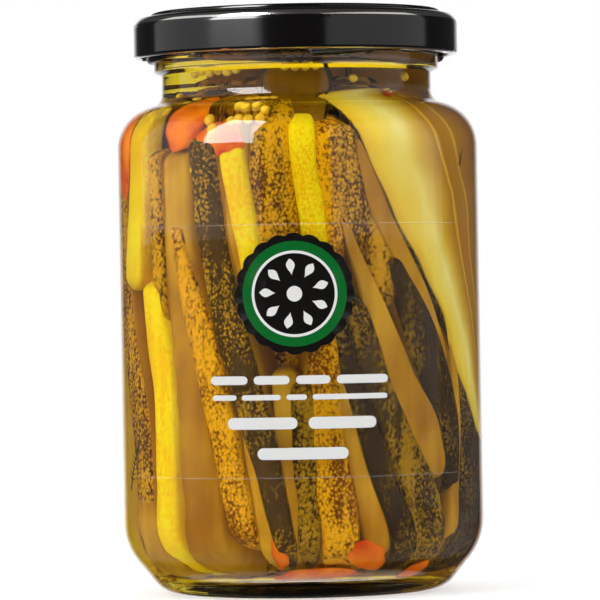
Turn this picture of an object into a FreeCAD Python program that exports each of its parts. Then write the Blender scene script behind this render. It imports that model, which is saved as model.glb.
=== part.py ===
import FreeCAD, Part
import math
import os

# A round glass jar of pickled cucumber slices, closed by a pressed steel twist-off lid.
# It stands on its base ring at Z = 0 with its axis on Z, and -Y is the side that the label faces.
# Lengths are in millimetres and angles in degrees.

# ---- glass: body -------------------------------------------------------------------------
BODY_RADIUS = 41.0
WALL = 2.7
HEEL_HEIGHT = 16.2          # where the heel's curve runs into the straight wall
HEEL_UPPER_RADIUS = 14.0
HEEL_LOWER_RADIUS = 7.0
HEEL_SLOPE = 51.0           # of the straight chamfer between the two heel curves
PUNT_DEPTH = 2.0            # of the hollow under the base
BEARING_WIDTH = 2.2         # of the flat ring that the jar stands on
FLOOR_THICKNESS = 3.2       # of the glass above the top of the hollow
INNER_HEEL_RADIUS = 13.0

# ---- glass: shoulder and neck --------------------------------------------------------------
SHOULDER_START = 101.0      # where the straight wall ends
SHOULDER_RADIUS = 10.0
NECK_FILLET = 3.0           # hollow curve between shoulder and neck
NECK_INSET = 1.7            # the neck is narrower than the finish by this much all round

# ---- glass: the finish that the lid screws on ----------------------------------------------
FINISH_RADIUS = 32.4
FINISH_WALL = 3.2
NECK_GROOVE_HEIGHT = 4.1    # of the straight neck between its fillet and the ledge
LEDGE_RISE = 0.8            # the finish grows out of the neck over this height
FINISH_HEIGHT = 12.25       # from the ledge to the rim
BORE_FLARE = 3.5            # height over which the bore widens from the neck to the finish
LIP_OUTER_RADIUS = 1.3
LIP_INNER_RADIUS = 0.9

# ---- glass: thread lugs --------------------------------------------------------------------
LUG_COUNT = 4
LUG_SPAN = 75.0             # of arc that each lug covers
LUG_TILT = 4.5
LUG_RADIUS = 1.4            # of the lug's round section
LUG_PROUD = 1.9             # how far a lug stands out of the finish
LUG_FIRST_ANGLE = -135.0

# ---- lid -----------------------------------------------------------------------------------
SHEET = 0.25                # lacquered tinplate
SKIRT_GAP = 4.25            # between the finish and the inside of the lid's skirt
SKIRT_HEIGHT = 10.3         # from the lid's top to the bottom of its curl
PANEL_INSET = 3.9           # from the lid's outside to the edge of its raised panel
PANEL_STEP = 1.0            # the panel stands this far above the lid's shoulder
PANEL_EDGE_RADIUS = 0.6
LID_CORNER_RADIUS = 2.4
STEP_SLOPE_WIDTH = 0.5      # the step between panel and shoulder leans by this much
CURL_RADIUS = 0.8           # of the rolled edge
BUTTON_RADIUS = 13.0        # of the vacuum button in the middle of the panel
BUTTON_SINK = 0.5
BUTTON_SLOPE_WIDTH = 2.0
HOOK_SPAN = 14.0            # of arc that each of the lid's hooks covers
HOOK_GAP = 1.1              # between a hook's nose and the finish
HOOK_HEIGHT = 0.8
HOOK_LIFT = 0.05            # of a hook's underside above the bottom of the curl
HOOK_LEAD = 28.0            # a hook grips this far round from the middle of its glass lug
LUG_ABOVE_HOOK = 1.862      # from the top of a hook to the middle of the lug over it

# ---- seal ----------------------------------------------------------------------------------
SEAL_THICKNESS = 0.9
SEAL_INSIDE_MARGIN = 0.3    # the seal is wider than the rim by this much on the inside
SEAL_OUTSIDE_MARGIN = 0.1

# ---- contents and label ----------------------------------------------------------------------
HEADSPACE = 9.35            # from the brine's surface to the rim
LABEL_THICKNESS = 0.12
LABEL_ABOVE_HEEL = 11.0     # the film keeps clear of the curved glass by this much below
LABEL_BELOW_SHOULDER = 17.9
LABEL_HALF_SPAN = 62.0      # of arc to each side of the label's middle
LABEL_MIDDLE_ANGLE = -91.7
LABEL_CORNER_RADIUS = 3.0

# ---- radii and heights that follow from the sizes above ----------------------------------------
FLOOR_TOP = PUNT_DEPTH + FLOOR_THICKNESS
INNER_RADIUS = BODY_RADIUS - WALL
NECK_RADIUS = FINISH_RADIUS - NECK_INSET
SHOULDER_CENTRE_RADIUS = BODY_RADIUS - SHOULDER_RADIUS
FILLET_CENTRE_RADIUS = NECK_RADIUS + NECK_FILLET
CENTRE_DISTANCE = SHOULDER_RADIUS + NECK_FILLET
# The two curves touch where the neck is wide, and a level stretch joins them where it is narrow.
CENTRE_REACH = max(0, FILLET_CENTRE_RADIUS - SHOULDER_CENTRE_RADIUS)
CENTRE_RISE = math.sqrt(CENTRE_DISTANCE ** 2 - CENTRE_REACH ** 2)
FILLET_CENTRE_HEIGHT = SHOULDER_START + CENTRE_RISE
LEDGE_START = FILLET_CENTRE_HEIGHT + NECK_GROOVE_HEIGHT
LEDGE_TOP = LEDGE_START + LEDGE_RISE
RIM_TOP = LEDGE_TOP + FINISH_HEIGHT
NECK_BORE = NECK_RADIUS - WALL
FINISH_BORE = FINISH_RADIUS - FINISH_WALL
FLARE_START = FILLET_CENTRE_HEIGHT + (NECK_GROOVE_HEIGHT + LEDGE_RISE - BORE_FLARE) / 2
FLARE_END = FLARE_START + BORE_FLARE
BRINE_LEVEL = RIM_TOP - HEADSPACE
LID_RADIUS = FINISH_RADIUS + SKIRT_GAP + SHEET
LID_TOP = RIM_TOP + SEAL_THICKNESS + SHEET
PANEL_RADIUS = LID_RADIUS - PANEL_INSET
CURL_HEIGHT = LID_TOP - SKIRT_HEIGHT + CURL_RADIUS
HOOK_UNDERSIDE = CURL_HEIGHT - CURL_RADIUS + HOOK_LIFT
LUG_RING_RADIUS = FINISH_RADIUS + LUG_PROUD - LUG_RADIUS
LUG_RISE_AT_HOOK = (
    LUG_RING_RADIUS * math.sin(math.radians(HOOK_LEAD)) * math.sin(math.radians(LUG_TILT))
)
LUG_MIDDLE = HOOK_UNDERSIDE + HOOK_HEIGHT + LUG_ABOVE_HOOK - LUG_RISE_AT_HOOK
LABEL_BOTTOM = HEEL_HEIGHT + LABEL_ABOVE_HEEL
LABEL_TOP = SHOULDER_START - LABEL_BELOW_SHOULDER
Z_AXIS = FreeCAD.Vector(0, 0, 1)
ORIGIN = FreeCAD.Vector(0, 0, 0)


def at(radius, height):
    """A point of a profile, which lies in the XZ plane."""
    return FreeCAD.Vector(radius, 0, height)


def on_circle(centre, radius, angle):
    """The point of a circle in the XZ plane at an angle from +X towards +Z."""
    turn = math.radians(angle)
    return centre + FreeCAD.Vector(radius * math.cos(turn), 0, radius * math.sin(turn))


def arc(centre, radius, first, last):
    """An arc in the XZ plane from one angle to another."""
    ends = [on_circle(centre, radius, a) for a in (first, (first + last) / 2, last)]
    return Part.Arc(*ends).toShape()


def joined(*pieces):
    """Edges in order, with a straight line wherever one ends short of the next one."""
    chain = []
    last = None
    for piece in pieces:
        is_edge = isinstance(piece, Part.Shape)
        first = piece.firstVertex(True).Point if is_edge else piece
        if last is not None and last.distanceToPoint(first) > 1e-7:
            chain.append(Part.LineSegment(last, first).toShape())
        if is_edge:
            chain.append(piece)
        last = piece.lastVertex(True).Point if is_edge else piece
    return chain


def turned(edges, angle=360.0):
    """The solid that a closed profile sweeps about Z."""
    face = Part.Face(Part.Wire(edges))
    solid = face.revolve(ORIGIN, Z_AXIS, angle)
    return solid if solid.Volume > 0 else solid.reversed()


def outer_heel():
    """The jar's outside from the bearing ring up to the straight wall."""
    upper_centre = at(BODY_RADIUS - HEEL_UPPER_RADIUS, HEEL_HEIGHT)
    upper_foot = on_circle(upper_centre, HEEL_UPPER_RADIUS, HEEL_SLOPE - 90)
    lower_rise = HEEL_LOWER_RADIUS * (1 - math.cos(math.radians(HEEL_SLOPE)))
    lower_reach = HEEL_LOWER_RADIUS * math.sin(math.radians(HEEL_SLOPE))
    slope_reach = (upper_foot.z - lower_rise) / math.tan(math.radians(HEEL_SLOPE))
    bearing_radius = upper_foot.x - slope_reach - lower_reach
    lower_centre = at(bearing_radius, HEEL_LOWER_RADIUS)
    lower = arc(lower_centre, HEEL_LOWER_RADIUS, -90, HEEL_SLOPE - 90)
    upper = arc(upper_centre, HEEL_UPPER_RADIUS, HEEL_SLOPE - 90, 0)
    return bearing_radius, lower, upper


def shoulder(offset):
    """The convex shoulder and the hollow fillet above it, moved inwards by an offset."""
    centre = at(SHOULDER_CENTRE_RADIUS, SHOULDER_START)
    fillet_centre = at(FILLET_CENTRE_RADIUS, FILLET_CENTRE_HEIGHT)
    meeting = math.degrees(math.atan2(CENTRE_RISE, CENTRE_REACH))
    convex = arc(centre, SHOULDER_RADIUS - offset, 0, meeting)
    hollow = arc(fillet_centre, NECK_FILLET + offset, meeting + 180, 180)
    return convex, hollow


def inner_profile(top):
    """The inside of the glass, from the middle of its floor up to a height in the finish."""
    heel_centre = at(INNER_RADIUS - INNER_HEEL_RADIUS, FLOOR_TOP + INNER_HEEL_RADIUS)
    heel = arc(heel_centre, INNER_HEEL_RADIUS, -90, 0)
    convex, hollow = shoulder(WALL)
    return [
        at(0, FLOOR_TOP),
        heel,
        convex,
        hollow,
        at(NECK_BORE, FLARE_START),
        at(FINISH_BORE, FLARE_END),
        at(FINISH_BORE, top),
    ]


def thread_lugs():
    """Slanting ridges round the finish: ring segments about a tilted axis, with round ends."""
    lugs = []
    for index in range(LUG_COUNT):
        round_at = at(LUG_RING_RADIUS, 0)
        section = Part.Wire(Part.makeCircle(LUG_RADIUS, round_at, FreeCAD.Vector(0, 1, 0)))
        ridge = Part.Face(section).revolve(ORIGIN, Z_AXIS, LUG_SPAN)
        far_end = FreeCAD.Rotation(Z_AXIS, LUG_SPAN).multVec(round_at)
        for end in (round_at, far_end):
            ridge = ridge.fuse(Part.makeSphere(LUG_RADIUS, end))
        ridge.rotate(ORIGIN, Z_AXIS, -LUG_SPAN / 2)
        ridge.rotate(ORIGIN, FreeCAD.Vector(1, 0, 0), LUG_TILT)
        ridge.rotate(ORIGIN, Z_AXIS, LUG_FIRST_ANGLE + index * 360.0 / LUG_COUNT)
        ridge.translate(FreeCAD.Vector(0, 0, LUG_MIDDLE))
        lugs.append(ridge)
    return lugs


def glass_jar():
    """Blown glass: straight body, chamfered heel, round shoulder and a lugged finish."""
    bearing_radius, lower_heel, upper_heel = outer_heel()
    hollow_edge = at(bearing_radius - BEARING_WIDTH, 0)
    hollow_radius = (hollow_edge.x ** 2 + PUNT_DEPTH ** 2) / (2 * PUNT_DEPTH)
    hollow_centre = at(0, PUNT_DEPTH - hollow_radius)
    hollow_angle = math.degrees(math.asin(hollow_edge.x / hollow_radius))
    convex, hollow = shoulder(0)
    lip_outer = at(FINISH_RADIUS - LIP_OUTER_RADIUS, RIM_TOP - LIP_OUTER_RADIUS)
    lip_inner = at(FINISH_BORE + LIP_INNER_RADIUS, RIM_TOP - LIP_INNER_RADIUS)
    outside = [
        arc(hollow_centre, hollow_radius, 90, 90 - hollow_angle),
        lower_heel,
        upper_heel,
        convex,
        hollow,
        at(NECK_RADIUS, LEDGE_START),
        at(FINISH_RADIUS, LEDGE_TOP),
        arc(lip_outer, LIP_OUTER_RADIUS, 0, 90),
        arc(lip_inner, LIP_INNER_RADIUS, 90, 180),
    ]
    up = joined(*outside)
    down = joined(*inner_profile(lip_inner.z))
    bottom = Part.LineSegment(at(0, FLOOR_TOP), at(0, PUNT_DEPTH)).toShape()
    glass = turned(up + down[::-1] + [bottom])
    for lug in thread_lugs():
        glass = glass.fuse(lug)
    return glass.removeSplitter()


def lid_skin(inset):
    """The lid's top from its axis to the corner, moved down and inwards by an inset."""
    top = LID_TOP - inset
    shoulder_height = top - PANEL_STEP
    edge = at(PANEL_RADIUS - inset - PANEL_EDGE_RADIUS, top - PANEL_EDGE_RADIUS)
    corner = at(LID_RADIUS - LID_CORNER_RADIUS, LID_TOP - PANEL_STEP - LID_CORNER_RADIUS)
    step_foot = at(PANEL_RADIUS - inset + STEP_SLOPE_WIDTH, shoulder_height)
    return [
        at(0, top - BUTTON_SINK),
        at(BUTTON_RADIUS - BUTTON_SLOPE_WIDTH, top - BUTTON_SINK),
        at(BUTTON_RADIUS, top),
        arc(edge, PANEL_EDGE_RADIUS, 90, 0),
        step_foot,
        arc(corner, LID_CORNER_RADIUS - inset, 90, 0),
    ]


def lid():
    """Pressed tinplate: raised panel, rounded corner, skirt, rolled edge and four hooks."""
    curl_centre = at(LID_RADIUS - CURL_RADIUS, CURL_HEIGHT)
    skirt_inside = LID_RADIUS - SHEET
    meeting = math.degrees(math.acos((skirt_inside - curl_centre.x) / CURL_RADIUS))
    outside = joined(*lid_skin(0), arc(curl_centre, CURL_RADIUS, 0, meeting - 360))
    inside = joined(*lid_skin(SHEET), on_circle(curl_centre, CURL_RADIUS, meeting))
    axis = Part.LineSegment(at(0, LID_TOP - SHEET - BUTTON_SINK), at(0, LID_TOP - BUTTON_SINK))
    cap = turned(outside + inside[::-1] + [axis.toShape()])
    nose_radius = HOOK_HEIGHT / 2
    nose_centre = at(FINISH_RADIUS + HOOK_GAP + nose_radius, HOOK_UNDERSIDE + nose_radius)
    nose = arc(nose_centre, nose_radius, 270, 90)
    hook_top = at(curl_centre.x, HOOK_UNDERSIDE + HOOK_HEIGHT)
    hook_foot = at(curl_centre.x, HOOK_UNDERSIDE)
    hook_profile = joined(nose, hook_top, hook_foot, nose.firstVertex(True).Point)
    for index in range(LUG_COUNT):
        hook = turned(hook_profile, HOOK_SPAN)
        lug_angle = LUG_FIRST_ANGLE + index * 360.0 / LUG_COUNT
        hook.rotate(ORIGIN, Z_AXIS, lug_angle + HOOK_LEAD - HOOK_SPAN / 2)
        cap = cap.fuse(hook)
    return cap.removeSplitter()


def lid_seal():
    """The ring of soft compound between the glass rim and the lid's panel."""
    inner = FINISH_BORE + LIP_INNER_RADIUS - SEAL_INSIDE_MARGIN
    outer = FINISH_RADIUS - LIP_OUTER_RADIUS + SEAL_OUTSIDE_MARGIN
    top = RIM_TOP + SEAL_THICKNESS
    corners = [at(inner, RIM_TOP), at(outer, RIM_TOP), at(outer, top), at(inner, top)]
    return turned(joined(*corners, corners[0]))


def brine():
    """The liquid with everything that is sunk in it, up to its level in the finish."""
    filled = turned(joined(*inner_profile(RIM_TOP), at(0, RIM_TOP), at(0, FLOOR_TOP)))
    headspace = Part.makeCylinder(BODY_RADIUS, HEADSPACE, at(0, BRINE_LEVEL))
    return filled.cut(headspace)


def label_film():
    """A clear film with rounded corners that lies on the straight wall of the glass."""
    outer = BODY_RADIUS + LABEL_THICKNESS
    corners = [at(BODY_RADIUS, LABEL_BOTTOM), at(outer, LABEL_BOTTOM)]
    corners += [at(outer, LABEL_TOP), at(BODY_RADIUS, LABEL_TOP)]
    film = turned(joined(*corners, corners[0]), 2 * LABEL_HALF_SPAN)
    film.rotate(ORIGIN, Z_AXIS, -LABEL_HALF_SPAN)
    for side in (-1, 1):
        for end, edge_height in ((-1, LABEL_BOTTOM), (1, LABEL_TOP)):
            film = film.cut(corner_waste(side, end, edge_height))
    film.rotate(ORIGIN, Z_AXIS, LABEL_MIDDLE_ANGLE)
    return film


def corner_waste(side, end, edge_height):
    """What is trimmed off one corner of the film: a square block less a round pin."""
    size = LABEL_CORNER_RADIUS
    depth = 6 * LABEL_THICKNESS
    reach = 2 * size
    block_start = FreeCAD.Vector(0, min(0, side * reach), min(0, end * reach))
    block = Part.makeBox(depth, reach, reach, block_start)
    waste = block.cut(Part.makeCylinder(size, depth, ORIGIN, FreeCAD.Vector(1, 0, 0)))
    waste.translate(at(BODY_RADIUS - depth / 2, edge_height - end * size))
    waste.rotate(ORIGIN, Z_AXIS, side * (LABEL_HALF_SPAN - math.degrees(size / BODY_RADIUS)))
    return waste


NODES = {
    "glass_jar": glass_jar,
    "lid": lid,
    "lid_seal": lid_seal,
    "brine": brine,
    "label_film": label_film,
}

os.makedirs("parts", exist_ok=True)
for name, make in NODES.items():
    shape = make()
    shape.exportStep("parts/" + name + ".step")
    print(name, "volume_mm3", round(shape.Volume, 1), "valid", shape.isValid(), len(shape.Solids))
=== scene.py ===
# %% [markdown]
# # A shut jar of sliced cucumber pickles
# Clear glass, a black twist-off lid, a clear film with a round badge, and slices standing in yellow brine.
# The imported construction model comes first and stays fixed. The jar could be modelled here from nothing,
# but two models of one thing drift apart, so every piece made here takes its place from the first one.

# %% Load the frame
import math
import random

import bmesh
import bpy
import numpy
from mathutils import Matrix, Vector, noise


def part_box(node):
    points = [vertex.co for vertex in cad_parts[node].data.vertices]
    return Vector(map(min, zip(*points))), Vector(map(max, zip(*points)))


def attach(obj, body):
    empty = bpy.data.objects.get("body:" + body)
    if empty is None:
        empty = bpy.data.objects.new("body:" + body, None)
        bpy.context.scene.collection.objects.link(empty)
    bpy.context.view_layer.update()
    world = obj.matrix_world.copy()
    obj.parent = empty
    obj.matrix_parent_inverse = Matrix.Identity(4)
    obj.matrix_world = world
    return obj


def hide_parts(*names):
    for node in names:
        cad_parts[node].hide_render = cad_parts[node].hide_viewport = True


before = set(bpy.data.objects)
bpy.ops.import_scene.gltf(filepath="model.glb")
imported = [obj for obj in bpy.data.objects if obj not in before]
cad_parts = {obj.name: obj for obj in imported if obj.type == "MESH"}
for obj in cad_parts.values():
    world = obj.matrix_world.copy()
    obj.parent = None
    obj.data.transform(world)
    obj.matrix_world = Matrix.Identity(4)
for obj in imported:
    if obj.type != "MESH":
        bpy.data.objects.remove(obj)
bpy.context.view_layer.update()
MM = 0.001
ROOT = "root"
random.seed(7)

# %% [markdown]
# Small helpers serve every step. Paint charts give colours as sRGB hex, and the renderer wants linear
# light, so one turns hex into that. One adds a node and wires it up, and the rest close a mesh and hand it
# in. Nodes could be wired by hand in the editor, but a script shows each value and repeats exactly.

# %% Helpers
def linear(hex_colour):
    """An sRGB hex colour as linear red, green, blue and alpha."""
    parts = [int(hex_colour[i:i + 2], 16) / 255 for i in (1, 3, 5)]
    return tuple(p / 12.92 if p <= 0.04045 else ((p + 0.055) / 1.055) ** 2.4 for p in parts) + (1.0,)


def add(tree, kind, inputs=None, **settings):
    """Adds one shader node. Each input gets a plain value, or a link from another node's output."""
    node = tree.nodes.new("ShaderNode" + kind)
    for name, value in settings.items():
        setattr(node, name, value)
    for key, value in (inputs or {}).items():
        if isinstance(value, bpy.types.NodeSocket):
            tree.links.new(value, node.inputs[key])
        else:
            node.inputs[key].default_value = value
    return node


def new_material(name):
    """An empty node material, its tree and its output node."""
    material = bpy.data.materials.new(name)
    material.use_nodes = True
    tree = material.node_tree
    tree.nodes.clear()
    return material, tree, add(tree, "OutputMaterial")


def close_rings(bm, rings, index=0):
    """Faces between rings of points, one after another, and one across each end."""
    count = len(rings[0])
    for low, high in zip(rings, rings[1:]):
        for i in range(count):
            j = (i + 1) % count
            bm.faces.new((low[i], low[j], high[j], high[i])).material_index = index
    bm.faces.new(rings[0][::-1]).material_index = index
    bm.faces.new(rings[-1]).material_index = index


def as_mesh(bm, name, outward=True):
    """The mesh of a bmesh, with its faces turned outward, or left as they are."""
    if outward:
        bmesh.ops.recalc_face_normals(bm, faces=bm.faces)
    mesh = bpy.data.meshes.new(name)
    bm.to_mesh(mesh)
    bm.free()
    return mesh


def put_in(name, mesh, materials, smooth=True):
    """Makes a mesh into a piece of the object that rides on its one body."""
    piece = bpy.data.objects.new(name, mesh)
    bpy.context.collection.objects.link(piece)
    for material in materials:
        mesh.materials.append(material)
    mesh.polygons.foreach_set("use_smooth", [smooth] * len(mesh.polygons))
    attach(piece, ROOT)
    print(name, len(mesh.polygons), "faces")
    return piece


print("mid grey #808080 is", round(linear("#808080")[0], 3), "in linear light")

# %% [markdown]
# No small real surface is one flat colour. A seed coat, a leaf, pepper flesh, the seal and the inks all
# drift between two close tones, so one function makes them all. A flat colour would be simpler and look
# like plastic, and tones painted by hand would look no better at this size.

# %% A finish in two close tones
def mottled(name, one, other, grain_mm, surface, drift=(0.0, 1.0), most=1.0):
    """Wanders between two colours in patches of a size in mm. surface holds the shader's own values.

    drift is the part of the noise that is used, and most is the largest share of the second colour.
    """
    material, tree, output = new_material(name)
    place = add(tree, "TexCoord").outputs["Object"]
    patches = add(tree, "TexNoise", {"Vector": place, "Scale": 1 / (grain_mm * MM)})
    share = add(tree, "MapRange", {"Value": patches.outputs["Fac"], "From Min": drift[0],
                                   "From Max": drift[1], "To Max": most})
    colour = add(tree, "Mix", {"Factor": share.outputs["Result"], 6: linear(one), 7: linear(other)},
                 data_type="RGBA")
    shader = add(tree, "BsdfPrincipled", {"Base Color": colour.outputs[2], **surface})
    tree.links.new(shader.outputs["BSDF"], output.inputs["Surface"])
    print("finish", name, "in patches of", grain_mm, "mm")
    return material


# %% [markdown]
# ## Brine
# Salt, vinegar and sugar in water, tinted yellow by turmeric. Its IOR is near water's, 1.33. The colour is
# in the depth of it: thin edges are pale and the middle is amber, so the tint is an absorption inside a
# closed body. The body could be the construction solid itself, but that one ends just where the glass
# begins, and two faces in one place flicker. So the solid's section is read back here, and a slightly
# larger body is turned from it.

# %% Section of the construction solid
def section(node):
    """The outline of a turned node at its seam, as (radius, height) in mm, in order from its foot."""
    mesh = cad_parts[node].data
    seam = {v.index: (round(v.co.x / MM, 3), round(v.co.z / MM, 3)) for v in mesh.vertices
            if abs(v.co.y) < 1e-6 and v.co.x > 0}
    near = {point: set() for point in seam.values()}
    for edge in mesh.edges:
        one, other = (seam.get(i) for i in edge.vertices)
        if one and other and one != other:
            near[one].add(other)
            near[other].add(one)
    path = [min(near, key=lambda point: (point[1], point[0]))]
    while True:
        onward = [point for point in near[path[-1]] if point not in path]
        if not onward:
            return path
        path.append(onward[0])


inside = section("brine")
wall = numpy.array(sorted({height: radius for radius, height in inside}.items()))
level = inside[-1][1]


def wall_at(height):
    """The inside radius of the glass at a height, in mm."""
    return numpy.interp(height, wall[:, 0], wall[:, 1])


print("brine from", inside[0], "to", inside[-1], "in", len(inside), "points")

# %% [markdown]
# The body of liquid reaches 0.15 mm into the glass, so that no film of air shows between them. A screw
# modifier could turn the outline. Rings of points made here do the same and are closed top and bottom, as
# an absorbing liquid must be.

# %% Brine body
INTO_WALL = 0.15
BRINE_SIDES = 160
BRINE_IOR = 1.33
BRINE_MIRROR = 0.1
TURMERIC = (0.92, 0.85, 0.0, 1.0)
TURMERIC_DENSITY = 100.0


def turned(name, outline, sides):
    """A closed mesh of an outline, in mm, turned about the upright axis and shut at both ends."""
    bm = bmesh.new()
    rings = []
    for radius, height in outline:
        angles = (2 * math.pi * i / sides for i in range(sides))
        rings.append([bm.verts.new((radius * math.cos(a) * MM, radius * math.sin(a) * MM, height * MM))
                      for a in angles])
    close_rings(bm, rings)
    return as_mesh(bm, name)


def brine_liquid():
    """Clear yellow liquid. Its tint deepens with the way through it, and its own mirror is nearly off."""
    material, tree, output = new_material("turmeric_brine")
    shader = add(tree, "BsdfPrincipled", {
        "Base Color": linear("#FFFFFF"), "Roughness": 0.0, "IOR": BRINE_IOR, "Transmission Weight": 1.0,
        "Specular Tint": (BRINE_MIRROR, BRINE_MIRROR, BRINE_MIRROR, 1.0)})
    tint = add(tree, "VolumeAbsorption", {"Color": TURMERIC, "Density": TURMERIC_DENSITY})
    tree.links.new(shader.outputs["BSDF"], output.inputs["Surface"])
    tree.links.new(tint.outputs["Volume"], output.inputs["Volume"])
    return material


grown = [(radius + INTO_WALL, height) for radius, height in inside]
grown[0] = (grown[0][0], grown[0][1] - INTO_WALL)
brine = put_in("brine_body", turned("brine_body", grown, BRINE_SIDES), [brine_liquid()])
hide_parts("brine")

# %% [markdown]
# ## Glass
# Container glass is soda-lime glass, blown in a mould. It is clear with an IOR of 1.5, very smooth, and its
# walls wander a little, because only the outside touches the mould. A faint bump a centimetre long gives
# that. Where brine wets the inside, the two IORs are close and hardly anything is mirrored, so those faces
# get the same glass with nearly no specular tint. A solidify modifier could give a wall, but the
# construction solid has the true thickness already, so the piece is a copy of it with that second finish.

# %% Soda-lime glass, dry and wetted
WANDER_MM = 9.0
GLASS_IOR = 1.5
OUTSIDE_MIRROR = 0.6
WETTED_MIRROR = 0.08
TOUCH_MM = 0.1              # a face this near the brine counts as wetted


def blown_glass(name, mirror):
    """Clear glass with a faint long wander. mirror is how much of its reflection is kept."""
    material, tree, output = new_material(name)
    place = add(tree, "TexCoord").outputs["Object"]
    wander = add(tree, "TexNoise", {"Vector": place, "Scale": 1 / (WANDER_MM * MM), "Detail": 1.0})
    bump = add(tree, "Bump", {"Height": wander.outputs["Fac"], "Strength": 0.25,
                              "Distance": 0.2 * MM})
    shader = add(tree, "BsdfPrincipled", {
        "Base Color": linear("#FFFFFF"), "Roughness": 0.0, "IOR": GLASS_IOR, "Transmission Weight": 1.0,
        "Specular Tint": (mirror, mirror, mirror, 1.0), "Normal": bump.outputs["Normal"]})
    tree.links.new(shader.outputs["BSDF"], output.inputs["Surface"])
    return material


def jar_with_wetted_wall():
    """A copy of the jar's mesh whose faces against the brine have the second material."""
    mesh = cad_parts["glass_jar"].data.copy()
    mesh.name = "jar_glass"
    mesh.materials.clear()
    for face in mesh.polygons:
        radius, height = face.center.xy.length / MM, face.center.z / MM
        wetted = inside[0][1] - TOUCH_MM < height < level and radius < wall_at(height) + TOUCH_MM
        face.material_index = int(wetted)
    return mesh


jar = put_in("jar_glass", jar_with_wetted_wall(),
             [blown_glass("soda_lime_glass", OUTSIDE_MIRROR), blown_glass("wetted_glass", WETTED_MIRROR)])
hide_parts("glass_jar")

# %% [markdown]
# ## Cucumber slices
# Cucumbers cut lengthwise into long flat slices. Their long edges keep the skin, dark grey-green to brown
# with yellow warts and flecks, and their faces are pale flesh that takes the brine's colour. They stand on
# end and lean, most with a skin edge to the glass and a few with a face to it. Their colours could be
# painted on an unwrapped mesh. Noise in the object's own space needs no unwrapping and gives each slice its
# own marks, so the mesh only carries three values at its points: how much skin there is, how far in the
# flesh is, and its tone.

# %% Skin
# Wet plant tissue is up to IOR 1.5. Against brine's 1.33 that leaves 1.13, so sunk things hardly shine.
IN_BRINE = 1.13
FLECK_MM = 0.3
WART_MM = 0.65
PATCH_MM = 5.0
STREAK_MM = 1.2
FLECK_WEIGHT = 0.6
WART_WEIGHT = -0.42
PATCH_WEIGHT = 0.5
STREAK_WEIGHT = 0.4
BARE_EDGE = 0.7             # flecks show where the skin's height is above this
EDGE_DROP = 0.3             # and a full share of flecks lowers that by this much


def skin(tree, place, ground, deep, fleck, share):
    """Mottled ground with flecks on its warts. Gives its colour, its height and its finest noise."""
    squat = add(tree, "Mapping", {"Vector": place, "Scale": (1.0, 1.0, 0.8)}).outputs["Vector"]
    drawn = add(tree, "Mapping", {"Vector": place, "Scale": (1.0, 1.0, 0.05)}).outputs["Vector"]
    wart = add(tree, "TexVoronoi", {"Vector": squat, "Scale": 1 / (WART_MM * MM)})
    fine = add(tree, "TexNoise", {"Vector": squat, "Scale": 1 / (FLECK_MM * MM * 2),
                                  "Detail": 3.0, "Roughness": 0.7})
    broad = add(tree, "TexNoise", {"Vector": squat, "Scale": 1 / (PATCH_MM * MM * 2), "Detail": 1.0})
    streak = add(tree, "TexNoise", {"Vector": drawn, "Scale": 1 / (STREAK_MM * MM * 2), "Detail": 1.0})
    height = 0.0
    for source, weight in ((broad.outputs["Fac"], PATCH_WEIGHT), (streak.outputs["Fac"], STREAK_WEIGHT),
                           (fine.outputs["Fac"], FLECK_WEIGHT), (wart.outputs["Distance"], WART_WEIGHT)):
        summed = add(tree, "Math", {0: source, 1: weight, 2: height}, operation="MULTIPLY_ADD")
        height = summed.outputs[0]
    edge = BARE_EDGE - EDGE_DROP * share
    spots = add(tree, "MapRange", {"Value": height, "From Min": edge - 0.1,
                                   "From Max": edge + 0.14})
    mottle = add(tree, "Mix", {"Factor": broad.outputs["Fac"], 6: linear(ground), 7: linear(deep)},
                 data_type="RGBA")
    colour = add(tree, "Mix", {"Factor": spots.outputs["Result"], 6: mottle.outputs[2],
                               7: linear(fleck)}, data_type="RGBA")
    return colour.outputs[2], height, fine.outputs["Fac"]


print("warts", WART_MM, "mm, flecks", FLECK_MM, "mm, patches", PATCH_MM, "mm, streaks", STREAK_MM, "mm")

# %% [markdown]
# Cut flesh is clouded and has fibres along it. Outer flesh is pale, and the seed core is glassy and deeper,
# with a pale line along each side of it. Each zone could have a material of its own with a hard edge. A
# colour ramp over one value blends them as the real zones blend. On the broad slice that shows its face,
# the ramp also holds painted light and shade: it is lightest a third of the way across, a painted
# highlight, and darkens steadily from there to the far edge, a painted shade.

# %% Flesh
FIBRE_MM = 1.1
CLOUD_MM = 18.0
FIBRE_SHARE = 0.35
ZONE_DRIFT = 0.14
# Stops along the across value. The pale lines beside the core are real; the white stop and the steady
# darkening after it are painted highlight and shade.
FLESH_ZONES = [(0.05, "#E8C030"), (0.16, "#FFF090"), (0.32, "#FFFFFF"), (0.46, "#E0C468"), (0.59, "#B88C2C"),
               (0.61, "#E8CC70"), (0.63, "#B08428"), (0.73, "#B48A30"), (0.745, "#D8B858"), (0.76, "#A87C20"),
               (1.0, "#906414")]


def set_zones(ramp):
    """Puts the flesh's zones and painted light and shade on a colour ramp, which comes with two stops
    already.
    """
    for zone in FLESH_ZONES[:-2]:
        ramp.elements.new(zone[0])
    for element, (place, colour) in zip(ramp.elements, FLESH_ZONES):
        element.position = place
        element.color = linear(colour)


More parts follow.
